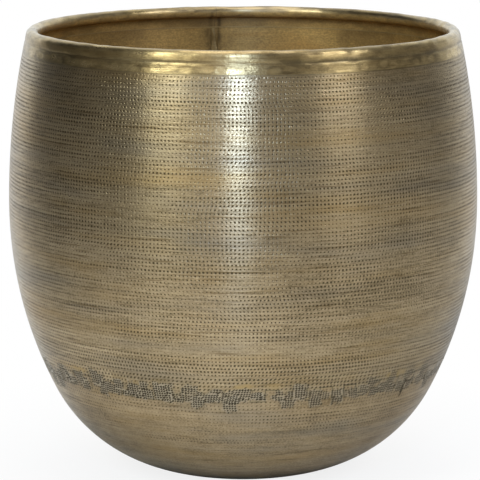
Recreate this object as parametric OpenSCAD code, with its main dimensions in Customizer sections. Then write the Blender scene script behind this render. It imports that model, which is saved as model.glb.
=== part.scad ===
// Round brass planter pot with a punched side wall, a dished base and a plain wired rim.
// Millimetres, +Z up, with the origin at the centre of the flat sole.

/* [Overall] */
// Outside diameter at the belly, the widest place
belly_d = 300; // [240:1:400]
// Height from the table to the top of the rim
height = 284; // [230:1:380]
// Height of the belly above the table
belly_z = 172; // [140:1:210]
// How far the outside leans in from the belly to the rim
rim_lean = 12; // [4:0.5:40]
// Diameter of the flat sole
sole_d = 92; // [60:1:120]
// Thickness of the brass sheet
sheet_t = 1.2; // [0.8:0.1:2]

/* [Curve of the side] */
// Sweep in degrees of the long arc that runs down from the belly
flank_sweep = 27; // [20:0.5:35]
// Angle in degrees between the bowl and the table where they meet
sole_angle = 8; // [2:0.5:14]

/* [Rim] */
// Diameter of the wire inside the rolled rim
wire_d = 5; // [3:0.1:7]
// Room all round between the wire and the roll that holds it
wire_room = 0.05; // [0.02:0.01:0.2]
// Gap between the butted ends of the wire
wire_gap = 1; // [0.5:0.1:3]
// How far the collar is rolled round the wire, in degrees
roll_wrap = 290; // [240:1:310]
// Height of the collar, from the top of the rim down to its seam
collar_h = 14; // [12:0.5:30]
// Depth of the crease that is pressed in under the roll
crease_depth = 0.4; // [0.1:0.05:0.6]
// Radius of the tool that presses the crease
crease_r = 0.9; // [0.7:0.05:1.5]

/* [Seams] */
// Width of the gap that the brazing metal fills
braze_gap = 0.8; // [0.4:0.1:1.5]
// Direction of the upright seam in degrees, from +X toward +Y
seam_angle = 98; // [0:1:359]
// Width of the braze bead on the inside of the upright seam
bead_w = 5.6; // [3:0.1:9]
// How far that bead stands out from the wall
bead_h = 0.5; // [0.2:0.05:1]
// Height of the middle of the toothed base seam
base_seam_z = 72; // [60:1:90]
// Height of the teeth that interlock along the base seam
tooth_h = 8; // [4:0.5:12]
// Number of teeth on each edge of the base seam
tooth_count = 48; // [24:1:72]

/* [Hidden] */
$fn = 180;

belly_r = belly_d / 2;
sole_r = sole_d / 2;

// How far a cutting block reaches past what it cuts
past = 1;

// Sweep in degrees by which the bowl arc overlaps the flank arc, so that they join
lap = 0.02;

// The roll: a tube of sheet closed round the wire, with its top at the full height
roll_r = wire_d / 2 + wire_room + sheet_t;
roll_c = [belly_r - rim_lean - roll_r, height - roll_r];

// The shoulder arc is upright at the belly and runs into the outside of the roll without a corner
shoulder_rise = roll_c[1] - belly_z;
shoulder_in = belly_r - roll_c[0];
shoulder_r = (shoulder_in ^ 2 + shoulder_rise ^ 2 - roll_r ^ 2) / (2 * rim_lean);
shoulder_c = [belly_r - shoulder_r, belly_z];
rim_angle = asin(shoulder_rise / (shoulder_r - roll_r));

// The flank and bowl arcs share a tangent where they meet, and the bowl ends at the edge of the sole.
// Their radii solve two equations: one for the run in to the sole, one for the drop from the belly.
run_flank = 1 - cos(flank_sweep);
run_bowl = cos(flank_sweep) - sin(sole_angle);
drop_flank = sin(flank_sweep);
drop_bowl = cos(sole_angle) - sin(flank_sweep);
run = belly_r - sole_r;
mix = run_bowl * drop_flank - run_flank * drop_bowl;
flank_r = (run_bowl * belly_z - drop_bowl * run) / mix;
bowl_r = (drop_flank * run - run_flank * belly_z) / mix;
flank_c = [belly_r - flank_r, belly_z];
bowl_c = [sole_r - bowl_r * sin(sole_angle), bowl_r * cos(sole_angle)];

// The crease sits on the outside of the collar, level with the bottom of the roll
crease_z = height - 2 * roll_r;
crease_turn = asin((crease_z - belly_z) / shoulder_r);
crease_out = shoulder_r + crease_r - crease_depth;
crease_c = shoulder_c + crease_out * [cos(crease_turn), sin(crease_turn)];

// Levels and angles of the seams
rim_seam_z = height - collar_h;
wall_top = rim_seam_z - braze_gap;
tooth_top = base_seam_z + tooth_h / 2;
tooth_low = base_seam_z - tooth_h / 2;
half_gap = braze_gap / 2;
gap_turn = braze_gap / belly_r * 180 / PI;
bead_turn = bead_w / belly_r * 180 / PI;
wire_gap_turn = wire_gap / roll_c[0] * 180 / PI;
tooth_pitch = 360 / tooth_count;
tooth_turn = tooth_pitch / 2 - gap_turn;
notch_turn = tooth_pitch / 2 + gap_turn;

// Point at a distance and an angle from another point
function polar(centre, r, a) = centre + r * [cos(a), sin(a)];

// Part of a ring about a centre, between two angles and two radii
module arc_band(centre, r_out, r_in, from, to) {
    far = 1.3 * r_out;
    intersection() {
        difference() {
            translate(centre) circle(r_out);
            translate(centre) circle(r_in);
        }
        polygon([centre, polar(centre, far, from), polar(centre, far, (from + to) / 2),
            polar(centre, far, to)]);
    }
}

// Half section of a skin that follows the pot, given how far its two faces lie in from the outside
module skin(outer_in, inner_in) {
    arc_band(shoulder_c, shoulder_r - outer_in, shoulder_r - inner_in, 0, rim_angle);
    arc_band(flank_c, flank_r - outer_in, flank_r - inner_in, -flank_sweep, 0);
    arc_band(bowl_c, bowl_r - outer_in, bowl_r - inner_in, sole_angle - 90, lap - flank_sweep);
}

// Half section of the sheet, with its flat sole
module sheet() {
    skin(0, sheet_t);
    square([sole_r, sheet_t]);
}

// Half section of the roll, open on its lower outer side
module roll() {
    difference() {
        translate(roll_c) circle(roll_r);
        translate(roll_c) circle(roll_r - sheet_t);
        polygon([roll_c, polar(roll_c, 3 * roll_r, rim_angle + roll_wrap - 360),
            polar(roll_c, 3 * roll_r, rim_angle)]);
    }
}

// Half section of the collar: a band of sheet, creased outside and rolled inward at the top
module collar_section() {
    difference() {
        between(rim_seam_z, height) sheet();
        translate(crease_c) circle(crease_r);
    }
    roll();
}

// What of a half section lies between two levels
module between(low, high) {
    intersection() {
        children();
        translate([0, low]) square([belly_d, high - low]);
    }
}

// Turns a half section through an angle that is centred on a direction
module turned(direction, turn) {
    rotate([0, 0, direction - turn / 2]) rotate_extrude(angle = turn) children();
}

// Blocks that cross the sheet, one to each tooth of the base seam
module tooth_blocks(direction, turn, low, high) {
    for (i = [0 : tooth_count - 1])
        turned(direction + i * tooth_pitch, turn)
            translate([sole_r, low]) square([belly_r - sole_r + past, high - low]);
}

// Dished bottom of the pot, with teeth along its upper edge
module base_pan() {
    color("#7a6a42")
    difference() {
        rotate_extrude() between(0, tooth_top - half_gap) sheet();
        tooth_blocks(seam_angle + tooth_pitch / 2, notch_turn, tooth_low - half_gap, tooth_top + past);
    }
}

// Brazing metal that fills the zigzag gap between the teeth of the pan and of the wall
module base_seam_braze() {
    color("#4c4632")
    difference() {
        rotate_extrude() between(tooth_low - half_gap, tooth_top + half_gap) sheet();
        tooth_blocks(seam_angle, tooth_turn, tooth_low - past, tooth_top - half_gap);
        tooth_blocks(seam_angle + tooth_pitch / 2, tooth_turn, tooth_low + half_gap, tooth_top + past);
    }
}

// Sheet rolled into a barrel, with a straight gap at the upright seam and teeth along its lower edge
module side_wall() {
    color("#8c7852")
    difference() {
        turned(seam_angle + 180, 360 - gap_turn) between(tooth_low + half_gap, wall_top) sheet();
        tooth_blocks(seam_angle, notch_turn, tooth_low - past, tooth_top + half_gap);
    }
}

// Brazing metal in the upright seam, with a wider bead on the inside
module side_seam_braze() {
    color("#9a8558") {
        turned(seam_angle, gap_turn)
            between(tooth_top + half_gap, wall_top) skin(0, sheet_t + bead_h / 2);
        turned(seam_angle, bead_turn)
            between(tooth_top + half_gap, wall_top) skin(sheet_t, sheet_t + bead_h);
    }
}

// Brazing metal between the side wall and the collar
module rim_seam_braze() {
    color("#6a5c3a")
    rotate_extrude() between(wall_top, rim_seam_z) sheet();
}

// Plain band above the wall, rolled inward round the wire, with a gap at the upright seam
module rim_collar() {
    color("#a08a55")
    turned(seam_angle + 180, 360 - gap_turn) collar_section();
}

// Brazing metal that closes the collar's own ends
module collar_seam_braze() {
    color("#9a8558")
    turned(seam_angle, gap_turn) collar_section();
}

// Ring of wire that stiffens the rolled rim, with its ends butted
module rim_wire() {
    color("#6e6c66")
    turned(seam_angle + 90, 360 - wire_gap_turn) translate(roll_c) circle(d = wire_d);
}

base_pan();
base_seam_braze();
side_wall();
side_seam_braze();
rim_seam_braze();
rim_collar();
collar_seam_braze();
rim_wire();
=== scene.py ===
import math

import bpy
import numpy as np
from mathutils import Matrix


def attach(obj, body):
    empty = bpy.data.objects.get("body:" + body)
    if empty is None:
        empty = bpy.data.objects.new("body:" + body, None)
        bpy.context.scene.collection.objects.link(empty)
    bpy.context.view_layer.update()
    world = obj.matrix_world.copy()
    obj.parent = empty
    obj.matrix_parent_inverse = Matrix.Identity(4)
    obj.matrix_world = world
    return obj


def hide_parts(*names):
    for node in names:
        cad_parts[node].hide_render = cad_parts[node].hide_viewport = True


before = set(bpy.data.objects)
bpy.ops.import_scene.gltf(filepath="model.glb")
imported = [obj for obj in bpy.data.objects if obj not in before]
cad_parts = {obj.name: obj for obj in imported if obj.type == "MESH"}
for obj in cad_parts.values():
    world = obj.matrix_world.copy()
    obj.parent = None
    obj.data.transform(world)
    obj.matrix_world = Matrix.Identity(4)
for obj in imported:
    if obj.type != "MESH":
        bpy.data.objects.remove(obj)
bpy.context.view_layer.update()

# Base pan: the dished bottom of the pot, brass sheet sunk into a bowl that stands on a flat sole.
# Its upper edge is cut into square teeth that interlock with the teeth of the wall.
# The dots punched in it are worn faint, and below them the bowl has faint rings from the turning tool.
mm = 0.001
full_turn = 2 * math.pi
sheet = 1.2
wire_d = 5.0
wire_room = 0.05
rim_z = 284.0
rim_lean = 12.0
belly_r = 150.0
belly_z = 172.0
flank_sweep = math.radians(27)
sole_r = 46.0
sole_angle = math.radians(8)
braze_gap = 0.8
seam_gap = braze_gap / belly_r
seam_turn = math.radians(98)

# The outline is three arcs that run into one another. The shoulder ends at the rolled rim, and the radii
# of flank and bowl together make up the run in from the belly to the sole and the drop to the table.
roll_r = wire_d / 2 + wire_room + sheet
shoulder_rise = rim_z - roll_r - belly_z
shoulder_in = rim_lean + roll_r
shoulder_r = (shoulder_in ** 2 + shoulder_rise ** 2 - roll_r ** 2) / (2 * rim_lean)
bowl_stop = math.pi / 2 - sole_angle
run = belly_r - sole_r
run_flank = 1 - math.cos(flank_sweep)
run_bowl = math.cos(flank_sweep) - math.cos(bowl_stop)
drop_flank = math.sin(flank_sweep)
drop_bowl = math.sin(bowl_stop) - math.sin(flank_sweep)
mix = run_bowl * drop_flank - run_flank * drop_bowl
flank_r = (run_bowl * belly_z - drop_bowl * run) / mix
bowl_r = (drop_flank * run - run_flank * belly_z) / mix
bowl_middle_r = sole_r - bowl_r * math.cos(bowl_stop)
bowl_middle_z = bowl_r * math.sin(bowl_stop)
flank_run = flank_r * flank_sweep
bowl_run = flank_run + bowl_r * (bowl_stop - flank_sweep)


def outline(down, deep=0.0):
    """Radius and height on the sheet, at a distance down from the belly and a depth in from the outside."""
    down = np.asarray(down, float)
    rise = np.minimum(down, 0) / shoulder_r
    flank = np.clip(down, 0, flank_run) / flank_r
    bowl = flank_sweep + np.clip(down - flank_run, 0, bowl_run - flank_run) / bowl_r
    flat = np.maximum(down - bowl_run, 0)
    low_r = np.where(down < flank_run, belly_r - flank_r + (flank_r - deep) * np.cos(flank),
                     bowl_middle_r + (bowl_r - deep) * np.cos(bowl) - flat)
    low_z = np.where(down < flank_run, belly_z - (flank_r - deep) * np.sin(flank),
                     bowl_middle_z - (bowl_r - deep) * np.sin(bowl))
    radius = np.where(down < 0, belly_r - shoulder_r + (shoulder_r - deep) * np.cos(rise), low_r)
    height = np.where(down < 0, belly_z - (shoulder_r - deep) * np.sin(rise), low_z)
    return radius, height


def down_to(height):
    """Distance down from the belly, along the outside, to a height above the table."""
    if height >= belly_z:
        return -shoulder_r * math.asin((height - belly_z) / shoulder_r)
    if height >= belly_z - flank_r * math.sin(flank_sweep):
        return flank_r * math.asin((belly_z - height) / flank_r)
    return flank_run + bowl_r * (math.asin((bowl_middle_z - height) / bowl_r) - flank_sweep)


def mottle(turn, down, seed, wide, tall):
    """Soft blotches from 0 to 1, about so many millimetres wide and tall, the same on each run."""
    turn, down = np.broadcast_arrays(turn, down)
    top = -400.0
    rows = 211
    across = max(3, round(full_turn * belly_r / wide))
    grid = np.random.default_rng(seed).random((rows, across))
    right = (turn / full_turn) % 1.0 * across
    below = (down - top) / tall
    col = np.floor(right).astype(int)
    row = np.floor(below).astype(int)
    a = right - col
    b = below - row
    a = a * a * (3 - 2 * a)
    b = b * b * (3 - 2 * b)
    here = col % across
    beyond = (col + 1) % across
    near, far = (grid[at % rows, here] * (1 - a) + grid[at % rows, beyond] * a
                 for at in (row, row + 1))
    return near * (1 - b) + far * b


def ripple(turn, down, seed, wide, tall):
    """The same blotches, from -0.5 to 0.5."""
    return mottle(turn, down, seed, wide, tall) - 0.5


class Shell:
    """Points, marks and faces of one piece, gathered until they become a mesh."""

    mark_names = ("pit", "tone", "worked", "hatch", "soot", "bare", "inside")

    def __init__(self):
        self.places = []
        self.unrolled = []
        self.marks = {name: [] for name in self.mark_names}
        self.faces = []
        self.hollows = []
        self.count = 0

    def points(self, turn, radius, height, along, **marks):
        """Adds points at a turn round the pot; along is where they lie on the unrolled section."""
        turn, radius, height, along = np.broadcast_arrays(turn, radius, height, along)
        place = np.stack([radius * np.cos(turn), radius * np.sin(turn), height], -1)
        self.places.append(place.reshape(-1, 3))
        self.unrolled.append(np.stack([turn, along], -1).reshape(-1, 2))
        for name in self.mark_names:
            self.marks[name].append(np.broadcast_to(marks.get(name, 0.0), turn.shape).ravel())
        index = np.arange(self.count, self.count + turn.size).reshape(turn.shape)
        self.count += turn.size
        return index

    def skin(self, turn, down, deep, **marks):
        """Adds points that follow the pot's outline."""
        turn, down, deep = np.broadcast_arrays(turn, down, deep)
        radius, height = outline(down, deep)
        return self.points(turn, radius, height, down, **marks)

    def face(self, *corners):
        """Adds faces, each made of one index from each of the given arrays."""
        self.faces.append(np.stack([np.asarray(c).ravel() for c in corners], -1))

    def net(self, index, keep=None, flip=False):
        """Adds the quads of a net of points whose rows run down and whose columns run round."""
        corners = [index[1:, :-1], index[1:, 1:], index[:-1, 1:], index[:-1, :-1]]
        if keep is not None:
            corners = [corner[keep] for corner in corners]
        self.face(*(corners[::-1] if flip else corners))

    def zip(self, upper, lower, upper_at, lower_at, flip=False):
        """Adds the triangles between two lines of points that are spaced differently."""
        steps = np.argsort(np.concatenate([upper_at[1:], lower_at[1:]]), kind="stable")
        on_upper = steps < len(upper) - 1
        i = np.cumsum(on_upper)
        j = np.cumsum(~on_upper)
        tip = np.where(on_upper, upper[i], lower[j])
        made = np.stack([upper[i - on_upper], lower[j - ~on_upper], tip], -1)
        self.faces.append(made[:, ::-1] if flip else made)

    def unroll(self, corners, starts, sizes):
        """Lays the piece out flat for baking: two halves of the outside, two of the inside, the edges."""
        outer_strip = 0.4
        inner_strip = 0.08
        edge_strip = 0.015
        wide = 0.95
        margin = 0.01
        turn, along = np.concatenate(self.unrolled)[corners].T
        inner = np.concatenate(self.marks["inside"])[corners]
        owner = np.repeat(np.arange(len(sizes)), sizes)
        turn = (turn - seam_turn) % full_turn
        wraps = np.maximum.reduceat(turn, starts) - np.minimum.reduceat(turn, starts) > math.pi
        turn = turn + np.where(wraps[owner] & (turn < math.pi), full_turn, 0)
        half = (np.add.reduceat(turn, starts) / sizes >= math.pi)[owner]
        kind = (np.add.reduceat(inner, starts) / sizes)[owner]
        part = (along - along.min()) / max(np.ptp(along), 1e-6)
        outside = outer_strip * half + margin + (outer_strip - 2 * margin) * part
        lining = 2 * outer_strip + inner_strip * half + margin / 2 + (inner_strip - margin) * part
        edge = 2 * (outer_strip + inner_strip) + margin / 2 + edge_strip * half + margin * inner
        across = margin + wide * (turn - math.pi * half) / math.pi
        upward = np.where(kind < 0.01, outside, np.where(kind > 0.99, lining, edge))
        return np.stack([across, upward], -1)

    def piece(self, name, node, slot, material, corner=13):
        """Makes the mesh, in metres, as a piece that stands for a node of the frame.

        Edges that bend by more degrees than a corner stay crisp.
        """
        corners = np.concatenate([f.ravel() for f in self.faces]).astype(np.int32)
        sizes = np.concatenate([np.full(len(f), f.shape[1]) for f in self.faces])
        starts = np.concatenate([[0], np.cumsum(sizes)[:-1]]).astype(np.int32)
        mesh = bpy.data.meshes.new(name)
        mesh.vertices.add(self.count)
        mesh.vertices.foreach_set("co", (np.concatenate(self.places) * mm).astype(np.float32).ravel())
        mesh.loops.add(len(corners))
        mesh.loops.foreach_set("vertex_index", corners)
        mesh.polygons.add(len(sizes))
        mesh.polygons.foreach_set("loop_start", starts)
        mesh.polygons.foreach_set("use_smooth", np.ones(len(sizes), bool))
        for mark in self.mark_names:
            kept = mesh.attributes.new(mark, "FLOAT", "POINT")
            kept.data.foreach_set("value", np.concatenate(self.marks[mark]).astype(np.float32))
        turn, along = np.concatenate(self.unrolled).T
        grain_ring = 0.14
        ring = grain_ring * np.minimum(np.hypot(*np.concatenate(self.places)[:, :2].T) / sole_r, 1)
        rolled = np.stack([ring * np.cos(turn), ring * np.sin(turn), -mm * along], -1)
        kept = mesh.attributes.new("rolled", "FLOAT_VECTOR", "POINT")
        kept.data.foreach_set("vector", rolled.astype(np.float32).ravel())
        layout = mesh.uv_layers.new(name="OFBake")
        layout.data.foreach_set("uv", self.unroll(corners, starts, sizes).astype(np.float32).ravel())
        mesh.update(calc_edges=True)
        mesh.validate()
        mesh.set_sharp_from_angle(angle=math.radians(corner))
        if self.hollows:
            hollow = np.zeros(self.count, bool)
            hollow[np.concatenate(self.hollows)] = True
            ends = np.empty(2 * len(mesh.edges), np.int32)
            mesh.edges.foreach_get("vertices", ends)
            crisp = np.empty(len(mesh.edges), bool)
            mesh.edges.foreach_get("use_edge_sharp", crisp)
            mesh.edges.foreach_set("use_edge_sharp", crisp & ~hollow[ends.reshape(-1, 2)].any(1))
        mesh.materials.append(material)
        made = bpy.data.objects.new(name, mesh)
        bpy.context.scene.collection.objects.link(made)
        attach(made, "root")
        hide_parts(node)


def closed(line):
    """A line of points round the pot, with its first point again at the end."""
    return np.concatenate([line, line[..., :1]], -1)


def closed_turn(line):
    """The turns that go with a closed line of points."""
    return np.concatenate([line, line[..., :1] + full_turn], -1)


def short_turn(turn, start):
    """The turn from a start, the short way round the pot."""
    return (turn - start + math.pi) % full_turn - math.pi


def clamp(value):
    """Keeps values from 0 to 1."""
    return np.clip(value, 0, 1)


def punch(shell, turns, columns, downs, rows, seed, force, painted_shade, round_about):
    """Rows of punched dots, each a square of four points about a sunk point in the middle."""
    deepest = 0.33
    most_slip = 0.4
    most_lean = 0.34
    most_sway = 0.7
    hard_rows = 0.22
    hard_blow = 1.05
    dice = np.random.default_rng(seed)
    size = (rows, columns)
    pitch = (turns[1] - turns[0]) / columns
    step = (downs[1] - downs[0]) / rows
    middle = np.broadcast_to(turns[0] + (np.arange(columns) + 0.5) * pitch, size)
    level = np.broadcast_to((downs[0] + (np.arange(rows) + 0.5) * step)[:, None], size)
    ends = np.minimum(np.arange(columns), columns - 1 - np.arange(columns))
    loose = np.ones(columns) if round_about else clamp(ends / 4.0)
    walk = np.cumsum(dice.normal(0, 0.5, rows))[:, None]
    slip = pitch * most_slip * loose * np.sin(walk + 5.0 * mottle(middle, level, seed + 1, 150, 9))
    lean = pitch * most_lean * loose * ripple(middle, level, seed + 2, 40, 14)
    sway = most_sway * ripple(middle, level, seed + 3, 60, 20)
    struck_hard = dice.random((rows, 1)) < hard_rows
    row_blow = np.where(struck_hard, hard_blow, dice.uniform(0.66, 0.92, (rows, 1)))
    worn_away = np.clip(1.9 * mottle(middle, level, seed + 7, 42, 10) - 0.1, 0.5, 1.0)
    spread = 0.8 + 0.2 * worn_away
    half_w = pitch * spread * (0.165 + 0.11 * row_blow + 0.08 * (dice.random(size) - 0.5))
    half_h = step * spread * (0.175 + 0.11 * row_blow + 0.08 * (dice.random(size) - 0.5))
    strength = force(middle, level)
    blow = strength * row_blow * worn_away * (0.6 + 0.8 * mottle(middle, level, seed + 4, 38, 2.2))
    blow = np.clip(blow * (0.7 + 0.6 * dice.random(size)), 0.02, 1.2)
    sunk = deepest * np.sqrt(blow * strength)
    net_turn = np.empty((2 * rows + 2, 2 * columns))
    net_down = np.empty(net_turn.shape)
    for first_row, up in ((1, 1), (2, -1)):
        for first_col, side in ((0, -1), (1, 1)):
            net_turn[first_row:-1:2, first_col::2] = middle + slip + side * half_w + up * lean
            net_down[first_row:-1:2, first_col::2] = level + sway - up * half_h
    net_turn[[0, -1]] = net_turn[[1, -2]]
    net_down[0], net_down[-1] = downs
    net_deep = 0.02 * ripple(net_turn, net_down, seed + 5, 3.1, 2.7)
    net_deep[[0, -1]] = 0
    if not round_about:
        rim = np.ones((len(net_turn), 1))
        net_turn = np.concatenate([rim * turns[0], net_turn, rim * turns[1]], 1)
        net_down = np.concatenate([net_down[:, :1], net_down, net_down[:, -1:]], 1)
        net_deep = np.concatenate([rim * 0, net_deep, rim * 0], 1)
    row_tone = np.repeat(dice.normal(0, 0.25, rows + 1), 2)[:, None]
    tone = row_tone + ripple(net_turn, net_down, seed + 6, 60, 3.0)
    # The darkening passed in for the dots is painted shade.
    index = shell.skin(net_turn, net_down, net_deep, tone=tone, soot=painted_shade(net_turn, net_down))
    core_turn = middle + slip + pitch * 0.1 * (dice.random(size) - 0.5)
    core = shell.skin(core_turn, level + sway, sunk, pit=blow, tone=tone[1:-1:2, :1],
                      soot=painted_shade(core_turn, level))
    shell.hollows.append(core.ravel())
    if round_about:
        index = closed(index)
        net_turn = closed_turn(net_turn)
    first = 0 if round_about else 1
    keep = np.ones((index.shape[0] - 1, index.shape[1] - 1), bool)
    keep[1::2, first::2] = False
    shell.net(index, keep)
    left = index[:, first:first + 2 * columns:2]
    right = index[:, first + 1:first + 2 * columns:2]
    corners = (left[2:-1:2], right[2:-1:2], right[1:-1:2], left[1:-1:2])
    for k in range(4):
        shell.face(corners[k], corners[(k + 1) % 4], core)
    return index, net_turn, net_down


# The toothed band, where pan, brazing metal and wall meet, is one net of small cells that they share.
seam_z = 72.0
tooth_h = 8.0
tooth_count = 48
band_reach = 12.0
cells_per_tooth = 20
tooth_rows = 10
cells_round = tooth_count * cells_per_tooth
cell_turn = (full_turn - seam_gap) / cells_round
past_tooth = (tooth_h + braze_gap) / 2
in_tooth = (tooth_h - braze_gap) / 2
band_steps = (band_reach, past_tooth, in_tooth, -in_tooth, -past_tooth, -band_reach)
band_levels = [down_to(seam_z + up) for up in band_steps]
band_rows = (tooth_rows, 1, tooth_rows, 1, tooth_rows)
cell_rows = sum(band_rows)
band_parts = zip(band_levels, band_levels[1:], band_rows)
band_down = [np.linspace(top, low, rows, endpoint=False) for top, low, rows in band_parts]
band_down = np.concatenate(band_down + [band_levels[-1:]])
wall_start = seam_turn + seam_gap / 2
band_turn, band_down = np.meshgrid(wall_start + np.arange(cells_round + 1) * cell_turn, band_down)
band_row, band_col = np.indices(band_down.shape)
band_middle = down_to(seam_z)
band_net = (band_turn, band_down)

# Each blow of the crosshatched hammer face leaves a patch. The first blows follow the middle of the seam.
# The later ones were aimed at single teeth, above and below it. In two places all of them were lighter:
# for each, the direction in degrees, the spread in radians and the share of the force that is missing.
first_blows = 140
aimed_blows = 90
struck_z = seam_z - 1.6
struck_r = 132.0
half_teeth = 2 * tooth_count
light_places = ((333, 0.5, 0.5), (210, 0.4, 0.35))
band_dice = np.random.default_rng(41)
worked = np.zeros(band_down.shape)
band_soot = np.zeros(band_down.shape)
shift_col = np.zeros(band_down.shape, int)
shift_row = np.zeros(band_down.shape, int)
ragged = 0.6 * ripple(*band_net, 42, 2.4, 2.2)
for blow in range(first_blows + aimed_blows):
    aimed = blow >= first_blows
    share = (blow - first_blows) / aimed_blows if aimed else blow / first_blows
    blow_turn = seam_turn + share * full_turn + band_dice.uniform(-0.03, 0.03)
    wander = 3.2 * float(ripple(blow_turn, 0.0, 44, 60, 500))
    half_tooth = round((blow_turn - seam_turn) / full_turn * half_teeth)
    if aimed:
        aim = (4.2 if half_tooth % 2 == 0 else -3.8) * band_dice.uniform(0.5, 1.2)
    else:
        aim = band_dice.normal(0, 0.6)
    blow_down = down_to(struck_z + wander + aim)
    hard = band_dice.uniform(0.55, 1.05) * (0.28 + 1.15 * float(mottle(blow_turn, 0.0, 43, 85, 500)))
    hard = min(hard, 1.0) * (band_dice.random() > 0.25 if aimed else 1.0)
    lighter = 0.0
    for place, wide, loss in light_places:
        lighter = lighter + loss * math.exp(-((blow_turn - math.radians(place)) / wide) ** 2)
    hard = hard * (1 - lighter)
    right = short_turn(band_turn, blow_turn) * struck_r
    below = band_down - blow_down
    lean = band_dice.uniform(-0.35, 0.35)
    across = np.abs(right + lean * below) / band_dice.uniform(3.4, 5.4)
    tall = band_dice.uniform(4.0, 6.8) if aimed else band_dice.uniform(2.2, 4.2)
    along = np.abs(below - lean * right) / tall
    mark = hard * clamp((1.05 + ragged - np.maximum(across, along)) * 4.0)
    over = mark > worked
    worked = np.where(over, mark, worked)
    shift_col[over] = band_dice.integers(2)
    shift_row[over] = band_dice.integers(2)
    band_soot = np.maximum(band_soot, hard * clamp(1.5 - 0.8 * np.hypot(across, along)))
worked[[0, -1]] = 0

# Places just above the band that the polishing wheel wiped clean of dots.
wipe_count = 38
upper_r = 133.0
band_bare = np.zeros(band_down.shape)
for wipe in range(wipe_count):
    wipe_turn = seam_turn + (wipe + band_dice.uniform(-0.35, 0.35)) * full_turn / wipe_count
    across = short_turn(band_turn, wipe_turn) * upper_r / band_dice.uniform(5.0, 11.0)
    along = (band_down - down_to(seam_z + band_dice.uniform(5.0, 10.5))) / band_dice.uniform(2.0, 3.6)
    wiped = clamp(1.5 * (1.1 + ragged - np.hypot(across, along)))
    clean = 0.75 if wipe % 5 == 3 else band_dice.uniform(0.1, 0.45)
    band_bare = np.maximum(band_bare, clean * wiped)
band_bare = clamp(band_bare - worked)

# One tooth has a crack beside it.
crack_turn = math.radians(321)
crack_r = 126.0
crack_half = 6.5
crack_aside = (band_turn % full_turn - crack_turn) * crack_r + 2.4 * ripple(0.0, band_down, 52, 9, 4)
crack_long = np.abs(band_down - down_to(seam_z - 5.0)) < crack_half
crack = np.exp(-(crack_aside / 0.6) ** 2) * crack_long
band_soot = np.maximum(band_soot, 0.35 * np.exp(-(crack_aside / 2.5) ** 2) * crack_long)

crossed = ((band_col + shift_col) % 2 == 1) & ((band_row + shift_row) % 2 == 1)
hatch = worked * crossed * np.clip(0.35 + 1.1 * mottle(*band_net, 46, 1.7, 1.6), 0, 1.1)
hatch = np.maximum(hatch, 0.2 * crack)
dotted = (band_col % 3 == 1) & (band_row % 3 == 1)
fade = np.where(band_row <= tooth_rows, 0.85, 0.35) * clamp(1 - 2.2 * worked) * (1 - band_bare)
band_pit = dotted * fade * (0.5 + 0.8 * mottle(*band_net, 47, 22, 2.4))
band_tone = 1.6 * ripple(*band_net, 48, 70, 3.0)
band_deep = 0.3 * hatch + 0.26 * band_pit + 0.06 * worked
band_deep = band_deep + 0.05 * ripple(*band_net, 49, 4, 3) * (band_row % cell_rows > 0)
band_marks = dict(pit=band_pit, tone=band_tone, worked=worked, hatch=hatch, soot=band_soot, bare=band_bare)

# The hammer was never held quite square, so the net leans one way and the other round the band.
seam_near = np.minimum(band_col, cells_round - band_col)
square = clamp(seam_near / 8.0) * np.sin(math.pi * band_row / cell_rows)
tilt = 1.1 * ripple(band_turn, 0.0, 50, 26, 900)
bent_turn = band_turn + tilt * square * (band_down - band_middle) / upper_r
bent_turn = bent_turn + 0.3 * cell_turn * square * (band_dice.random(band_down.shape) - 0.5)
bent_down = band_down + square * 1.1 * ripple(*band_net, 51, 15, 30)
bent_down = bent_down + 0.22 * square * (band_dice.random(band_down.shape) - 0.5)

# Which cells are the wall's, which the pan's and which the brazing metal's. Each tooth has two side cells.
first_side = 4
last_side = 14
teeth_stop = 2 * tooth_rows + 1
tooth_cell = np.arange(cells_round + 1) % cells_per_tooth
wall_cells = np.zeros((cell_rows, cells_round + 1), bool)
wall_cells[:tooth_rows, :cells_round] = True
wall_cells[tooth_rows:teeth_stop] = (tooth_cell > first_side) & (tooth_cell < last_side)
pan_cells = np.zeros_like(wall_cells)
pan_cells[tooth_rows + 1:teeth_stop + 1] = (tooth_cell < first_side) | (tooth_cell > last_side)
pan_cells[teeth_stop + 1:] = True
braze_cells = ~wall_cells & ~pan_cells
braze_cells[:tooth_rows] = False


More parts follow.
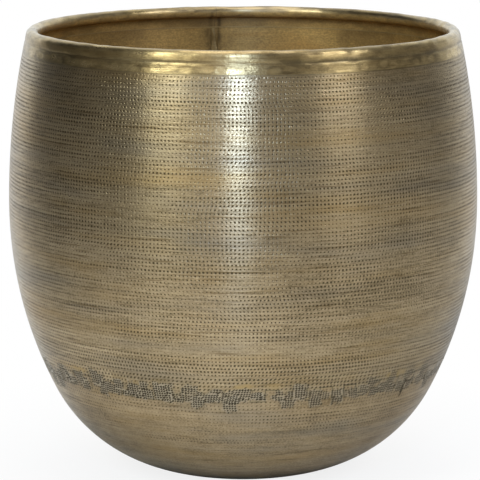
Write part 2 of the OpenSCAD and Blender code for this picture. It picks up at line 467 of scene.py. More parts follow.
def band_share(shell, cells, open_rows, crown=None):
    """Adds one piece's cells of the band: outside, inside, and the cut edges between them."""
    wide = cells.shape[1]
    at_row, at_col = np.nonzero(cells)
    next_col = (at_col + 1) % wide
    corners = ((at_row + 1, at_col), (at_row + 1, next_col), (at_row, next_col), (at_row, at_col))
    used = np.zeros(band_down.shape, bool)
    for corner in corners:
        used[corner] = True
    places = (bent_turn[used], bent_down[used])
    worn = {name: value[used] for name, value in band_marks.items()}
    outer = np.full(band_down.shape, -1)
    inner = np.full(band_down.shape, -1)
    outer[used] = shell.skin(*places, band_deep[used], **worn)
    inner[used] = shell.skin(*places, sheet, inside=1.0, tone=band_tone[used], soot=0.35 * band_soot[used])
    out = [outer[corner] for corner in corners]
    ins = [inner[corner] for corner in corners]
    if crown is None:
        shell.face(*out)
    else:
        ends = (corners[3], corners[1])
        turn = bent_turn[at_row, at_col] + cell_turn / 2
        down = sum(bent_down[end] for end in ends) / 2
        mean = {name: sum(value[end] for end in ends) / 2 for name, value in band_marks.items()}
        top = shell.skin(turn, down, -crown[at_row, at_col], **mean)
        for k in range(4):
            shell.face(out[k], out[(k + 1) % 4], top)
    shell.face(*ins[::-1])
    for k, (step_row, step_col) in enumerate(((1, 0), (0, 1), (-1, 0), (0, -1))):
        to_row = at_row + step_row
        to_col = (at_col + step_col) % wide
        bare_edge = (to_row < 0) | (to_row >= len(cells))
        cut = np.where(bare_edge, False, ~cells[np.clip(to_row, 0, len(cells) - 1), to_col])
        if not open_rows:
            cut = cut | bare_edge
        after = (k + 1) % 4
        shell.face(out[after][cut], out[k][cut], ins[k][cut], ins[after][cut])
    return outer, inner


class Finish:
    """The nodes of a material or of the room, with short ways to add one and to join it to others."""

    def __init__(self, owner):
        owner.use_nodes = True
        self.tree = owner.node_tree
        self.shader = self.tree.nodes.get("Principled BSDF")
        self.coordinates = self.add("TexCoord").outputs["Object"]

    def feed(self, node, inputs):
        """Links or sets some of a node's inputs, each given by its name or its number."""
        for key, value in inputs.items():
            socket = node.inputs[key]
            if isinstance(value, bpy.types.NodeSocket):
                self.tree.links.new(value, socket)
            elif socket.type == "RGBA":
                socket.default_value = (*value, 1.0)
            else:
                socket.default_value = value

    def add(self, kind, inputs=None, **choices):
        """Adds a node, makes its choices and feeds its inputs."""
        node = self.tree.nodes.new("ShaderNode" + kind)
        for name, choice in choices.items():
            setattr(node, name, choice)
        self.feed(node, inputs or {})
        return node

    def noise(self, stretch, detail, rough=0.55):
        """Cloudy noise, with about so many clouds to a metre along each axis."""
        scaled = self.add("Mapping", {"Vector": self.coordinates, "Scale": stretch}).outputs["Vector"]
        grain = {"Vector": scaled, "Scale": 1.0, "Detail": detail, "Roughness": rough}
        return self.add("TexNoise", grain).outputs["Fac"]

    def mark(self, name, output="Fac"):
        """What the mesh holds at each point under a name."""
        return self.add("Attribute", attribute_name=name).outputs[output]

    def math(self, operation, *values):
        """Works through several values with one operation, from the first to the last."""
        result = values[0]
        for value in values[1:]:
            result = self.add("Math", {0: result, 1: value}, operation=operation).outputs[0]
        return result

    def total(self, *values):
        """The sum of several values."""
        return self.math("ADD", *values)

    def times(self, *values):
        """The product of several values."""
        return self.math("MULTIPLY", *values)

    def most(self, *values):
        """The largest of several values."""
        return self.math("MAXIMUM", *values)

    def vector(self, operation, *values):
        """The outputs of an operation on vectors."""
        return self.add("VectorMath", dict(enumerate(values)), operation=operation).outputs

    def split(self, value):
        """The X, Y and Z of a vector."""
        return self.add("SeparateXYZ", {0: value}).outputs

    def span(self, value, low, high, to_low=0.0, to_high=1.0):
        """Maps a value from one range to another, and holds it at the ends."""
        limits = {"From Min": low, "From Max": high, "To Min": to_low, "To Max": to_high}
        return self.add("MapRange", {"Value": value, **limits}).outputs["Result"]

    def area(self, *spans):
        """Where several spans overlap, each given as its values."""
        return self.times(*(self.span(*values) for values in spans))

    def blend(self, amount, first, second):
        """A mix of two colours, the first at an amount of 0 and the second at 1."""
        return self.add("Mix", {0: amount, 6: first, 7: second}, data_type="RGBA").outputs[2]

    def stain(self, colour, cloud, start, stop, most, tint):
        """A colour under a tint that grows from nothing to most as a cloud goes from start to stop."""
        return self.blend(self.span(cloud, start, stop, 0.0, most), colour, tint)

    def bump(self, height, strength, distance):
        """Gives the surface a grain that is too fine for the mesh."""
        dent = self.add("Bump", {"Height": height, "Strength": strength, "Distance": distance})
        self.feed(self.shader, {"Normal": dent.outputs["Normal"]})


def antique_brass(name, dark, middle, bright, lining, rough, brushed, shares):
    """Brass brushed round the pot, with streaks of patina and dark marks where it was punched.

    The shares are what streaks, hairs, clouds, smears, grains and blots each add to the shade.
    """
    amber = (0.400, 0.264, 0.098)
    grey_patina = (0.252, 0.218, 0.160)
    scratch_brown = (0.135, 0.086, 0.034)
    stain_brown = (0.21, 0.128, 0.046)
    stain_amber = (0.40, 0.190, 0.035)
    grain_brown = (0.22, 0.138, 0.050)
    pit_dark = (0.060, 0.043, 0.020)
    outer_grime_and_shade = (0.102, 0.084, 0.050)
    inner_grime_and_shade = (0.105, 0.064, 0.021)
    hammered_grey = (0.480, 0.412, 0.296)
    hatch_dark = (0.075, 0.057, 0.031)
    bare_gold = (0.48, 0.330, 0.128)
    material = bpy.data.materials.new(name)
    finish = Finish(material)
    finish.coordinates = finish.mark("rolled", "Vector")
    streaks = finish.noise((30, 30, 820), 4)
    hairs = finish.noise((95, 95, 2400), 2)
    clouds = finish.noise((9, 9, 15), 4)
    smears = finish.noise((16, 16, 150), 3)
    grains = finish.noise((700, 700, 900), 2)
    blots = finish.noise((70, 70, 150), 5, 0.65)
    warmth = finish.noise((9, 9, 55), 4)
    scratches = finish.noise((26, 26, 620), 3)
    stains = finish.noise((26, 26, 34), 5, 0.62)
    shade = finish.times(finish.mark("tone"), 0.05)
    for cloud, share in zip((streaks, hairs, clouds, smears, grains, blots), shares):
        shade = finish.total(shade, finish.times(cloud, share))
    colour = finish.blend(finish.span(shade, 0.44, 0.56), dark, middle)
    colour = finish.blend(finish.span(shade, 0.56, 0.70), colour, bright)
    colour = finish.stain(colour, warmth, 0.52, 0.72, 0.54, amber)
    colour = finish.stain(colour, warmth, 0.48, 0.30, 0.58, grey_patina)
    colour = finish.stain(colour, scratches, 0.60, 0.70, 0.60, scratch_brown)
    inner = finish.blend(finish.span(shade, 0.44, 0.68), tuple(0.62 * c for c in lining), lining)
    inner = finish.stain(inner, stains, 0.46, 0.64, 0.60, stain_brown)
    inner = finish.stain(inner, warmth, 0.58, 0.72, 0.50, stain_amber)
    inner = finish.stain(inner, grains, 0.64, 0.36, 0.34, grain_brown)
    inside = finish.mark("inside")
    pit = finish.span(finish.mark("pit"), 0.05, 0.27)
    cross = finish.span(finish.mark("hatch"), 0.03, 0.16)
    # The darkening mark and the two grime colours it blends towards hold real soot and oxide from brazing
    # and hammering, and painted shade in the collar's crease, in the corner under the collar outside and
    # inside, and near the foot.
    grime_and_shade = finish.blend(inside, outer_grime_and_shade, inner_grime_and_shade)
    colour = finish.blend(inside, colour, inner)
    for mark, share, tint in ((pit, 0.93, pit_dark), (finish.mark("soot"), 0.5, grime_and_shade),
                              (finish.mark("worked"), 0.80, hammered_grey), (cross, 0.93, hatch_dark),
                              (finish.mark("bare"), 0.85, bare_gold)):
        colour = finish.blend(finish.times(mark, share), colour, tint)
    worn = finish.span(shade, 0.42, 0.72, rough + 0.06, rough - 0.05)
    struck = finish.most(finish.times(pit, 0.2), cross)
    worn = finish.total(worn, finish.times(struck, 0.44), finish.times(inside, 0.24))
    metal = finish.span(inside, 0.0, 1.0, 1.0, 0.5)
    finish.feed(finish.shader, {"Base Color": colour, "Roughness": worn, "Metallic": metal,
                                "Coat Weight": 0.07, "Coat Roughness": 0.26})
    if brushed:
        round_about = finish.add("Tangent", direction_type="RADIAL", axis="Z").outputs["Tangent"]
        brushing = {"Tangent": round_about, "Anisotropic": brushed, "Anisotropic Rotation": 0.25}
        finish.feed(finish.shader, brushing)
    relief = finish.total(finish.times(streaks, 0.5), finish.times(hairs, 0.5), finish.times(grains, 0.8))
    finish.bump(relief, strength=0.3, distance=0.0003)
    return material


pan = Shell()
pan_outer, pan_inner = band_share(pan, pan_cells, True)
pan_first = band_levels[-1] + 1.1
dots_stop = 182.0
ring_points = 168
lining_gold = (0.58, 0.368, 0.116)


def pan_force(turn, down):
    """How hard the punch was struck: lighter and lighter down the bowl, to nothing near the sole."""
    return (0.18 + 0.26 * clamp((150 - down) / 34.0)) * clamp((dots_stop + 4 - down) / 20.0)


def pan_foot_shade(turn, down):
    """Painted shade: a grey darkening that thickens down to the edge of the sole, where the bowl mirrors the
    shadowed table, and stops on the flat.
    """
    gather = clamp((down - 174.0) / 30.0) * clamp((bowl_run + 14 - down) / 10.0)
    return 2.0 * gather * (0.5 + 0.6 * mottle(turn, down, 65, 30, 9))


def pan_levels(first, bowl_rows, flat_rows):
    """Where the rings of points lie, down the bowl and in across the flat."""
    bowl = np.linspace(first, bowl_run, bowl_rows)
    flat = bowl_run + np.linspace(1.5, sole_r - 3, flat_rows)
    return np.concatenate([bowl, flat])[:, None]


pan_net, pan_net_turn = punch(pan, turns=(wall_start, wall_start + full_turn), columns=336,
                              downs=(pan_first, dots_stop), rows=26, seed=61,
                              force=pan_force, painted_shade=pan_foot_shade, round_about=True)[:2]
band_line = closed_turn(bent_turn[-1])
pan.zip(closed(pan_outer[-1]), pan_net[0], band_line, pan_net_turn[0])
ring_turn = seam_turn + np.arange(ring_points) / ring_points * full_turn
ring_line = closed_turn(ring_turn)
dish_down = pan_levels(dots_stop + 1.2, bowl_rows=30, flat_rows=16)
tool_mark = np.where(dish_down > bowl_run - 2, 0, 0.06 * ripple(ring_turn, dish_down, 62, 200, 2.6))
# The dish darkens towards the sole with the same painted shade.
dish = closed(pan.skin(ring_turn, dish_down, tool_mark, soot=pan_foot_shade(ring_turn, dish_down),
                       tone=1.2 * ripple(ring_turn, dish_down, 63, 160, 3)))
pan.net(dish)
pan.zip(pan_net[-1], dish[0], pan_net_turn[-1], ring_line)
pole = pan.points(0.0, 0.0, 0.0, bowl_run + sole_r).ravel()
pan.zip(dish[-1], pole, ring_line, [0.0])
lining_down = pan_levels(pan_first, bowl_rows=60, flat_rows=14)
lining = closed(pan.skin(ring_turn, lining_down, sheet, inside=1.0,
                         tone=1.2 * ripple(ring_turn, lining_down, 64, 160, 4)))
pan.net(lining, flip=True)
pan.zip(closed(pan_inner[-1]), lining[0], band_line, ring_line, flip=True)
pole = pan.points(0.0, 0.0, outline(bowl_run + 1, sheet)[1], bowl_run + sole_r, inside=1.0).ravel()
pan.zip(lining[-1], pole, ring_line, [0.0], flip=True)
pan_brass = antique_brass("pan_brass", dark=(0.208, 0.154, 0.085), middle=(0.382, 0.285, 0.160),
                          bright=(0.53, 0.406, 0.243), lining=lining_gold, rough=0.37, brushed=0.8,
                          shares=(0.12, 0.18, 0.26, 0.06, 0.32, 0.20))
pan.piece("dished_base", "base_pan", "base_brass", pan_brass)

# Base seam braze: brazing metal run into the zigzag gap between the teeth of the pan and of the wall.
# It cooled slightly proud, and the hammer that dressed the seam left it dark and crosshatched.
seam_braze = Shell()
seam_crown = 0.12 * mottle(*band_net, 66, 2.2, 1.9)
band_share(seam_braze, braze_cells, False, crown=seam_crown - band_deep)
dark_braze = antique_brass("dark_braze", dark=(0.110, 0.092, 0.056), middle=(0.215, 0.175, 0.105),
                           bright=(0.33, 0.27, 0.16), lining=(0.30, 0.22, 0.11), rough=0.44, brushed=0,
                           shares=(0.10, 0.20, 0.22, 0.10, 0.26, 0.24))
seam_braze.piece("toothed_braze", "base_seam_braze", "dark_braze", dark_braze)

# Side wall: brass sheet rolled into a barrel, raised at the belly and punched all over with rows of dots.
# Its upright edges are brazed together at the back, and teeth along its lower edge fit between the pan's.
wall = Shell()
collar_h = 14.0
rim_seam_z = rim_z - collar_h
wall_top_z = rim_seam_z - braze_gap
wall_top = down_to(wall_top_z)
wall_low = band_levels[0] - 1.0
wall_stop = wall_start + full_turn - seam_gap
by_seam = np.radians([0, 0.15, 0.35, 0.55, 0.75, 0.9, 1.05, 1.25, 1.5, 1.8, 2.2, 2.8, 3.6, 4.6, 5.8])


def wall_force(turn, down):
    """How hard the punch was struck: full on the wall, lighter by the upright seam and under the rim."""
    aside = np.minimum(turn - wall_start, wall_stop - turn) * belly_r
    return np.clip((aside - 0.6) / 4.0, 0.05, 1) * np.clip((down - wall_top) / 2.0, 0.5, 1)


def wall_collar_shade(turn, down):
    """Painted shade: a mottled trace of darkening in the corner under the collar."""
    return 0.3 * clamp(1 - (down - wall_top) / 3.0) * mottle(turn, down, 73, 20, 5)


def round_turns(clear, count):
    """Turns from edge to edge of the sheet, closer together beside the upright seam."""
    plain = np.linspace(wall_start + clear, wall_stop - clear, count)
    return np.concatenate([wall_start + by_seam, plain, (wall_stop - by_seam)[::-1]])


def edge_shadow(turn, reach):
    """Dark oxide along the edges of the bead in the upright seam, reaching so many degrees."""
    aside = np.minimum(turn - wall_start, wall_stop - turn)
    return clamp(1.2 - np.abs(aside - math.radians(1.05)) / math.radians(reach))


wall_outer, wall_inner = band_share(wall, wall_cells, True)
wall_net, wall_net_turn, wall_net_down = punch(wall, turns=(wall_start, wall_stop), columns=384,
                                               downs=(wall_top, wall_low), rows=78, seed=71,
                                               force=wall_force, painted_shade=wall_collar_shade, round_about=False)
wall.zip(wall_net[-1], wall_outer[0], wall_net_turn[-1], bent_turn[0])
lining_turn = round_turns(clear=0.125, count=190)
lining_down = np.linspace(wall_top, wall_low, 80)[:, None]
seam_shadow = edge_shadow(lining_turn, 0.8) * (0.35 + 0.9 * mottle(lining_turn, lining_down, 75, 2.5, 5))

# Four spots of oxide beside the seam: degrees from it, height, half width in degrees and half height.
oxide_spots = ((2.0, 265.5, 0.8, 4.0), (1.7, 258, 0.6, 3.0), (-1.5, 262, 0.5, 5.0), (1.5, 246, 0.7, 6.0))
for aside, spot_z, wide, tall in oxide_spots:
    across = short_turn(lining_turn, seam_turn + math.radians(aside)) / math.radians(wide)
    upward = (lining_down - down_to(spot_z)) / tall
    seam_shadow = np.maximum(seam_shadow, 0.9 * np.exp(-across ** 2 - upward ** 2))
rim_shadow = clamp(1 - (lining_down - wall_top) / 3.0)
lining = wall.skin(lining_turn, lining_down, sheet, inside=1.0,
                   soot=np.maximum(1.6 * seam_shadow, 0.3 * rim_shadow),
                   tone=1.3 * ripple(lining_turn, lining_down, 74, 120, 4))
wall.net(lining, flip=True)
wall.zip(lining[-1], wall_inner[0], lining_turn, bent_turn[0], flip=True)
wall.zip(lining[0], wall_net[0], lining_turn, wall_net_turn[0])
for edge_col in (0, -1):
    outer_line = np.append(wall_net[:, edge_col], wall_outer[0, edge_col])
    outer_at = np.append(wall_net_down[:, edge_col], band_down[0, 0])
    inner_line = np.append(lining[:, edge_col], wall_inner[0, edge_col])
    inner_at = np.append(lining_down[:, 0], band_down[0, 0])
    if edge_col == 0:
        wall.zip(outer_line, inner_line, outer_at, inner_at)
    else:
        wall.zip(inner_line, outer_line, inner_at, outer_at)
wall_brass = antique_brass("wall_brass", dark=(0.186, 0.141, 0.076), middle=(0.374, 0.287, 0.165),
                           bright=(0.545, 0.430, 0.263), lining=lining_gold, rough=0.31, brushed=0.90,
                           shares=(0.17, 0.30, 0.25, 0.06, 0.30, 0.06))
wall.piece("punched_wall", "side_wall", "wall_brass", wall_brass)

# Side seam braze: brazing metal that fills the upright gap at the back, filed flush on the outside.
# On the inside it was left as a flat rippled bead with dark oxide along both of its edges.
upright = Shell()
bead_w = 5.6
bead_middle = 1.66
bead_deep = (sheet, 1.36, 1.5, 1.6, 1.64)
bead_turn = [share * bead_w / belly_r / 2 for share in (1, 0.95, 0.84, 0.62, 0.33)]
bead_back = [-turn for turn in reversed(bead_turn)]
fill_half = seam_gap / 2
upright_down = np.linspace(wall_top, band_levels[1], 220)[:, None]
section_turn = np.array([-fill_half, 0, fill_half, fill_half, *bead_turn, 0, *bead_back, -fill_half])
section_deep = np.array([0, 0, 0, sheet, *bead_deep, bead_middle, *reversed(bead_deep), sheet])
section = np.arange(len(section_turn))
outside_middle = 1
bead_edge = len(bead_turn)
from_crest = np.abs(section - np.argmax(section_deep))
on_bead = (from_crest < bead_edge) * 1.0
bead_wide = 1 + 0.16 * on_bead * ripple(0.0, upright_down, 82, 2, 7)
bead_place = (section_turn * 3, upright_down)
upright_deep = section_deep + on_bead * 0.22 * ripple(*bead_place, 81, 2, 3.2)
upright_deep = upright_deep - (section == outside_middle) * 0.05 * mottle(0.0, upright_down, 83, 2, 3)
bead_soot = np.interp(from_crest, [2, 3, 4, bead_edge, bead_edge + 1], [0, 0.6, 1, 1, 0])
index = upright.skin(seam_turn + section_turn * bead_wide, upright_down, upright_deep,
                     inside=(from_crest <= bead_edge) * 1.0,
                     soot=bead_soot * (0.7 + 1.2 * mottle(*bead_place, 85, 2, 4)),
                     tone=1.5 * ripple(*bead_place, 84, 3, 5))
upright.net(closed(index))
upright.face(*index[0])
upright.face(*index[-1][::-1])
seam_metal = antique_brass("seam_metal", dark=(0.150, 0.118, 0.062), middle=(0.275, 0.215, 0.120),
                           bright=(0.40, 0.32, 0.18), lining=(0.36, 0.248, 0.094), rough=0.34,
                           brushed=0.9, shares=(0.10, 0.18, 0.24, 0.10, 0.22, 0.28))
upright.piece("upright_braze", "side_seam_braze", "seam_braze", seam_metal)

# Rim seam braze: the thin line of brazing metal between the top of the wall and the collar.
# It runs all round and stands a hair proud on both faces, dark outside and rubbed paler inside.
rim_line = Shell()
line_points = 720
line_steps = 5
around = seam_turn + np.arange(line_points) / line_points * full_turn
line_down = [down_to(z) for z in np.linspace(rim_seam_z, wall_top_z, line_steps)]
line_down = np.array(line_down + line_down[::-1])[:, None]
line_rise = np.array([0, -0.01, -0.02, -0.01, 0, 0, 0.06, 0.09, 0.06, 0])[:, None]
proud = np.array(2 * [0, 1, 1, 1, 0])[:, None]
line_inside = np.arange(len(line_down))[:, None] >= line_steps
line_deep = line_inside * sheet + line_rise + proud * 0.05 * ripple(around, line_down, 86, 3.5, 1.0)
index = rim_line.skin(around, line_down, line_deep, inside=line_inside,
                      bare=line_inside * 0.8 * mottle(around, line_down, 89, 25, 5),
                      soot=0.4 * mottle(around, line_down, 87, 14, 5),
                      tone=line_inside * 2.0 + 1.5 * ripple(around, line_down, 88, 30, 5))
index = closed(index)
rim_line.net(np.concatenate([index, index[:1]]))
rim_line.piece("rim_braze", "rim_seam_braze", "seam_braze", seam_metal)

# Rim collar: the plain brass band above the wall, creased under the lip and rolled inward round the wire.
# A hammer closed its lower edge onto the wall and left a row of overlapping round dents.
collar_r = 140.0
dent_count = 112
dent_deep = 0.125
roll_bore = roll_r - sheet
roll_middle_r = belly_r - rim_lean - roll_r
roll_middle_z = rim_z - roll_r
roll_start = math.asin(shoulder_rise / (shoulder_r - roll_r))
roll_wrap = math.radians(290)
roll_stop = roll_start + roll_wrap
crease_z = rim_z - 2 * roll_r
crease_half = 1.0
crease_top = down_to(crease_z + crease_half)
crease_low = down_to(crease_z - crease_half)
lip_down = -shoulder_r * roll_start
collar_low = down_to(rim_seam_z)
level_ends = (rim_z, rim_z - 20)
wave_high = 0.55
kink_high = 0.38
lip_lower = 0.12
collar_corner = 40
lip_points = 52
neck_points = 5
crease_points = 13
band_points = 16
bore_points = 30
roll_outer = np.linspace(roll_stop, roll_start, lip_points)[:, None]
roll_inner = np.linspace(roll_start, roll_stop, bore_points)[1:, None]
band_inside = np.linspace(collar_low, lip_down, band_points)[:, None]
band_outside = np.concatenate([np.linspace(lip_down, crease_top, neck_points)[1:-1],
                               np.linspace(crease_top, crease_low, crease_points),
                               np.linspace(crease_low, collar_low, band_points)[1:]])[:, None]


def collar(turn):
    """Radius, height, length along the section and marks of the collar, one row to each section point."""
    turn = turn[None, :]
    one = np.ones_like(turn)
    wave = ripple(turn, 0.0, 91, 30, 900)
    kink = ripple(turn, 0.0, 92, 7, 900)
    swell = wave_high * wave + kink_high * kink
    fade = clamp((roll_stop - roll_outer) / 2.0)
    lip_r = roll_r + (swell - lip_lower) * fade
    top_r = roll_middle_r + lip_r * np.cos(roll_outer)
    top_z = roll_middle_z + lip_r * np.sin(roll_outer)
    down = band_outside * one
    level = np.interp(band_outside, [down_to(z) for z in level_ends], level_ends)
    pressed = 0.06 + 0.3 * mottle(turn, 0.0, 97, 22, 900)
    groove = pressed * np.exp(-((level - crease_z - 0.8 * kink) / 0.85) ** 2)
    struck = np.zeros(down.shape)
    dice = np.random.default_rng(93)
    for blow in range(dent_count):
        spot = seam_turn + (blow + dice.uniform(-0.3, 0.3)) * full_turn / dent_count
        across = short_turn(turn, spot) * collar_r / dice.uniform(3.6, 5.6)
        upward = (level - rim_seam_z - dice.uniform(1.8, 3.6)) / dice.uniform(2.0, 2.9)
        dent = clamp(1.5 * (1 - across ** 2 - upward ** 2))
        struck = np.maximum(struck, dice.uniform(0.15, 1.0) * dent)
    joins = clamp((level - rim_seam_z) / 1.5)
    below_lip = clamp((band_outside - lip_down) / 3.0)
    side_r, side_z = outline(down, groove + dent_deep * struck * joins - swell * (1 - below_lip))
    bare = clamp((level - crease_z - crease_half) / 1.5) * one
    # Painted shade along the crease, mottled, darkest where the groove is deepest.
    soot = clamp(groove * 2.6) * (0.2 + 1.2 * mottle(turn, down, 94, 25, 900))
    rise_r, rise_z = outline(band_inside * one, sheet)
    bore_r = roll_middle_r + roll_bore * np.cos(roll_inner) * one
    bore_z = roll_middle_z + roll_bore * np.sin(roll_inner) * one
    radius = np.concatenate([top_r, side_r, rise_r, bore_r])
    height = np.concatenate([top_z, side_z, rise_z, bore_z])
    step_r = np.diff(radius[:, 0], prepend=radius[0, 0])
    step_z = np.diff(height[:, 0], prepend=height[0, 0])
    along = np.cumsum(np.hypot(step_r, step_z))[:, None]
    inward = np.ones((len(band_inside) + len(roll_inner), 1))
    turned_in = np.concatenate([clamp((roll_outer - 2.75) / 0.5), 0 * band_outside, inward])
    crest = np.exp(-((roll_outer - 1.9) / 0.9) ** 2)
    lip_place = (turn, 4 * roll_outer)
    lip_shine = crest * clamp(2.6 * mottle(*lip_place, 96, 11, 2) - 0.9)
    lip_specks = 0.8 * clamp(3.0 * mottle(*lip_place, 99, 3.4, 1.3) - 1.6)
    lip_specks = lip_specks * clamp((roll_outer - 1.2) / 0.6)
    none_in = 0 * inward * one
    # The band is painted darker and its dents lighter: painted shade and a painted highlight, so that the
    # dents show as lit round marks.
    tone = np.concatenate([0 * top_r, 2.4 * struck - 0.8, none_in])
    tone = tone + 1.5 * ripple(turn, along, 95, 60, 2.5)
    tone = tone + 2.6 * ripple(turn, along, 98, 7, 2.0)
    marks = dict(inside=turned_in * one, tone=tone,
                 soot=np.concatenate([lip_specks, soot, none_in]),
                 bare=np.concatenate([0.5 * lip_shine, 0.2 * bare, none_in]),
                 worked=np.concatenate([0.8 * lip_shine, 0 * bare, none_in]))
    return radius, height, along, marks


def collar_strip(turn, radius, height, along, marks):
    """A length of the collar, closed at both of its ends."""
    strip = Shell()
    index = strip.points(turn, radius, height, along, **marks)
    strip.net(np.concatenate([index, index[:1]]))
    strip.face(*index[::-1, 0])
    strip.face(*index[:, -1])
    return strip


rim_turn = round_turns(clear=0.11, count=700)
radius, height, along, marks = collar(rim_turn)
edge_dark = edge_shadow(rim_turn, 0.7) * (0.4 + 1.3 * mottle(rim_turn, along, 96, 2.0, 3.0))
marks["soot"] = np.maximum(marks["soot"], 1.2 * edge_dark * (marks["inside"] > 0.5))
rim = collar_strip(rim_turn, radius, height, along, marks)
collar_brass = antique_brass("collar_brass", dark=(0.197, 0.144, 0.068), middle=(0.398, 0.295, 0.138),
                             bright=(0.61, 0.462, 0.226), lining=lining_gold, rough=0.30, brushed=0.8,
                             shares=(0.10, 0.14, 0.28, 0.12, 0.14, 0.34))
rim.piece("rolled_collar", "rim_collar", "collar_brass", collar_brass, collar_corner)

# Collar seam braze: brazing metal between the butted ends of the collar strip, filed to its shape.
# It is a slice as thin as the gap, flush with the strip on either side.
slice_turn = np.linspace(wall_stop, wall_start + full_turn, 5)
rim_fill = collar_strip(slice_turn, *collar(slice_turn))
rim_fill.piece("collar_braze", "collar_seam_braze", "seam_braze", seam_metal, collar_corner)

# Rim wire: drawn steel wire bent into a ring, its ends butted, held inside the rolled rim.
# It shows only through the slit where the roll ends, dull grey with a little brown rust.
drawn_steel = bpy.data.materials.new("drawn_steel")
drawn = Finish(drawn_steel)
drawn_lines = drawn.noise((40, 40, 900), 3)
rust_spots = drawn.noise((160, 160, 160), 4)
steel = drawn.blend(drawn.span(drawn_lines, 0.3, 0.7), (0.24, 0.23, 0.22), (0.42, 0.41, 0.39))
steel = drawn.stain(steel, rust_spots, 0.55, 0.72, 1.0, (0.16, 0.075, 0.035))
rusty = drawn.span(rust_spots, 0.5, 0.75, 0.36, 0.7)
drawn.feed(drawn.shader, {"Base Color": steel, "Roughness": rusty, "Metallic": 1.0})
drawn.bump(drawn.total(drawn_lines, rust_spots), strength=0.3, distance=0.0003)
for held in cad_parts["rim_wire"].material_slots:
    held.material = drawn_steel

# Studio: a plain white table that fades into a white backdrop, soft lamps, and the camera of the photograph.
# The brass mirrors the table, and the table's paint sets how bright each part of it looks in the metal: for
# the metal it glows white in places, a painted light, and is painted darker in others, a painted shade.
scene = bpy.context.scene
scene.view_settings.view_transform = "Standard"
table_half = 9
table_mesh = bpy.data.meshes.new("table")
table_corners = [(table_half * x, table_half * y, 0) for x, y in ((-1, -1), (1, -1), (1, 1), (-1, 1))]
table_mesh.from_pydata(table_corners, [], [(0, 1, 2, 3)])
table = bpy.data.objects.new("table", table_mesh)
scene.collection.objects.link(table)
table_white = bpy.data.materials.new("table_white")
paint = Finish(table_white)
paint.tree.nodes.remove(paint.shader)
ray = paint.add("LightPath").outputs
mirrored = ray["Is Glossy Ray"]
away = paint.vector("LENGTH", paint.coordinates)["Value"]
toward = paint.vector("NORMALIZE", paint.coordinates)["Vector"]
front = paint.vector("DOT_PRODUCT", toward, (-0.53, -0.85, 0))["Value"]
place = paint.split(paint.coordinates)
aside = place["X"]
behind = place["Y"]
heading = paint.split(toward)
head_aside = heading["X"]
head_behind = heading["Y"]
before = (head_behind, -0.4, -0.1, 1.0, 0.0)
camera_share = paint.times(ray["Is Camera Ray"], paint.span(away, 0.06, 0.30, 0.84, 1.0))

# Painted light: where the table glows white in the metal, and what takes away from that.
at_back = paint.area((behind, 0.05, 0.4), (head_behind, 0.22, 0.6))
lit_side = paint.most(at_back, paint.span(aside, -0.42, -0.3, 0.15, 1.0))
right_near = paint.area((aside, 0.08, 0.25), (away, 0.25, 0.55, 0.4, 0.0))
right_back = paint.area((aside, 0.08, 0.25), (behind, 0.08, 0.28, 0.0, 0.7))
right_far = paint.area((aside, 0.1, 0.5), (behind, -0.9, -0.4, 0.6, 0.0))
right_front = paint.area((head_aside, 0.16, 0.32), (head_aside, 0.6, 0.85, 1.0, 0.0), before,
                         (away, 0.28, 0.45, 0.0, 0.32))
left_near = paint.area((aside, -0.2, -0.1, 1.0, 0.0), (away, 0.24, 0.4, 0.4, 0.0))
shaded = paint.most(right_near, right_back, right_far, right_front, left_near)
lit = paint.area((away, 0.10, 0.38), (away, 0.7, 1.6, 1.0, 0.35), (front, -0.4, 0.9, 0.42, 1.12))
lit = paint.times(lit, lit_side, paint.math("SUBTRACT", 1.0, shaded))
far_back = paint.area((head_behind, 0.40, 0.72), (away, 0.5, 0.9), (aside, -0.2, 0.2, 0.77, 0.58))
front_strip = paint.area((head_aside, -0.3, -0.1), (head_aside, 0.15, 0.25, 1.0, 0.0), before,
                         (away, 0.25, 0.45, 0.0, 0.92))
bright = paint.times(mirrored, paint.most(far_back, front_strip))
mirror_share = paint.most(paint.times(paint.most(mirrored, ray["Is Transmission Ray"]), lit), bright)

# Painted shade: where the lit table is painted darker in the metal.
on_left = paint.area((aside, -0.45, -0.15, 0.55, 0.0), (behind, 0.05, 0.4, 1.0, 0.0))
on_right = paint.area((aside, 0.04, 0.22, 0.0, 0.5), (aside, 0.28, 0.5, 1.0, 0.4))
left_foot = paint.area((aside, -0.09, -0.05, 1.0, 0.0), (away, 0.13, 0.18, 0.32, 0.0))
far_off = paint.span(away, 0.7, 1.6, 0.0, 0.86)
at_foot = paint.span(away, 0.06, 0.11, 0.4, 0.0)
dim = paint.times(mirrored, paint.most(on_left, on_right, far_off, at_foot, right_front, left_foot))
pale = paint.blend(paint.noise((60, 60, 60), 3), (0.86, 0.86, 0.86), (0.90, 0.90, 0.90))
matt = paint.add("BsdfDiffuse", {"Color": paint.blend(dim, pale, (0.06, 0.06, 0.06))})
white = paint.add("Emission", {"Color": (1, 1, 1)})
share = paint.most(camera_share, mirror_share)
both = paint.add("MixShader", {0: share, 1: matt.outputs[0], 2: white.outputs[0]})
paint.feed(paint.tree.nodes["Material Output"], {"Surface": both.outputs[0]})
table_mesh.materials.append(table_white)

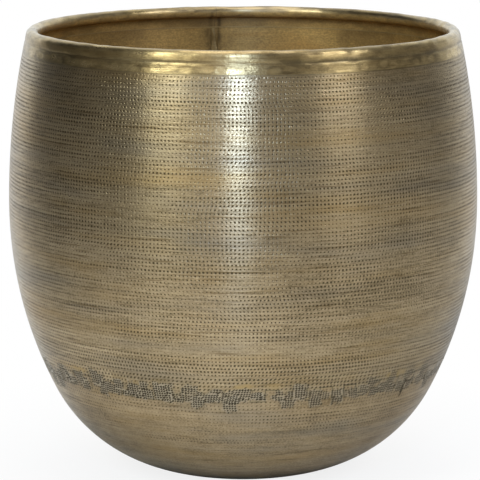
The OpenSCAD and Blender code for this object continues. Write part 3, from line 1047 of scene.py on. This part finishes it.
# The walls of the room: how bright each looks, by its bearing in degrees from the camera's side.
room = [(-180, 1.15), (-140, 1.15), (-134, 0.55), (-128, 0.03), (-104, 0.05), (-84, 0.165), (-66, 0.14),
        (-50, 0.34), (-32, 0.70), (-20, 0.92), (-10, 0.88), (4, 0.32), (40, 0.25), (62, 0.29), (116, 0.26),
        (129, 0.58), (143, 1.05), (180, 1.15)]
cool_from = 121
scene.world = bpy.data.worlds.new("studio")
studio = Finish(scene.world)
facing = studio.split(studio.coordinates.node.outputs["Generated"])
bearing = studio.math("ARCTAN2", facing["X"], studio.times(facing["Y"], -1.0))
walls = studio.add("ValToRGB", {"Fac": studio.span(bearing, -math.pi, math.pi)})
while len(walls.color_ramp.elements) < len(room):
    walls.color_ramp.elements.new(0.5)
for stop, (angle, level) in zip(walls.color_ramp.elements, room):
    cool = 0.07 if abs(angle) > cool_from else 0.0
    stop.position = angle / 360 + 0.5
    stop.color = (level * (1 - cool), level * (1 - 0.3 * cool), level, 1)
ray = studio.add("LightPath").outputs
seen = studio.most(ray["Is Camera Ray"], ray["Is Transmission Ray"])
sky = studio.blend(seen, walls.outputs["Color"], (1, 1, 1))
studio.feed(studio.tree.nodes["Background"], {"Color": sky})


def lamp(name, bearing, distance, height, wide, tall, power, tint):
    """An area light on a stand, at a bearing from the camera's side, aimed at the middle of the pot."""
    aim_height = 0.18
    light = bpy.data.lights.new(name, "AREA")
    light.shape = "RECTANGLE"
    light.size = wide
    light.size_y = tall
    light.energy = power
    light.color = tint
    stand = bpy.data.objects.new(name, light)
    angle = math.radians(bearing)
    stand.location = (distance * math.sin(angle), -distance * math.cos(angle), height)
    stand.rotation_euler = (math.pi / 2 - math.atan2(height - aim_height, distance), 0, angle)
    stand.visible_camera = False
    scene.collection.objects.link(stand)


# A tall strip behind the camera and a softbox on each side make the upright lights on the brass.
lamp("strip_light", bearing=-2.2, distance=2.6, height=1.25, wide=0.095, tall=1.2, power=25,
     tint=(0.45, 0.64, 1.0))
lamp("left_softbox", bearing=-41, distance=2.4, height=1.95, wide=0.9, tall=1.0, power=30,
     tint=(0.92, 1.0, 0.96))
lamp("right_softbox", bearing=55, distance=2.4, height=2.05, wide=0.9, tall=1.0, power=24.5,
     tint=(0.94, 0.97, 1.0))
lamp("overhead", bearing=0, distance=0.01, height=2.2, wide=1.2, tall=1.2, power=12,
     tint=(1, 0.98, 0.95))

camera_away = 2.0478
camera_height = 0.4995
camera_dip = 0.1708
camera = bpy.data.objects.new("camera", bpy.data.cameras.new("camera"))
camera.location = (0, -camera_away, camera_height)
camera.rotation_euler = (math.pi / 2 - camera_dip, 0, 0)
camera.data.sensor_width = 36
camera.data.lens = 242.04
camera.data.shift_x = -0.00656
scene.collection.objects.link(camera)
scene.camera = camera
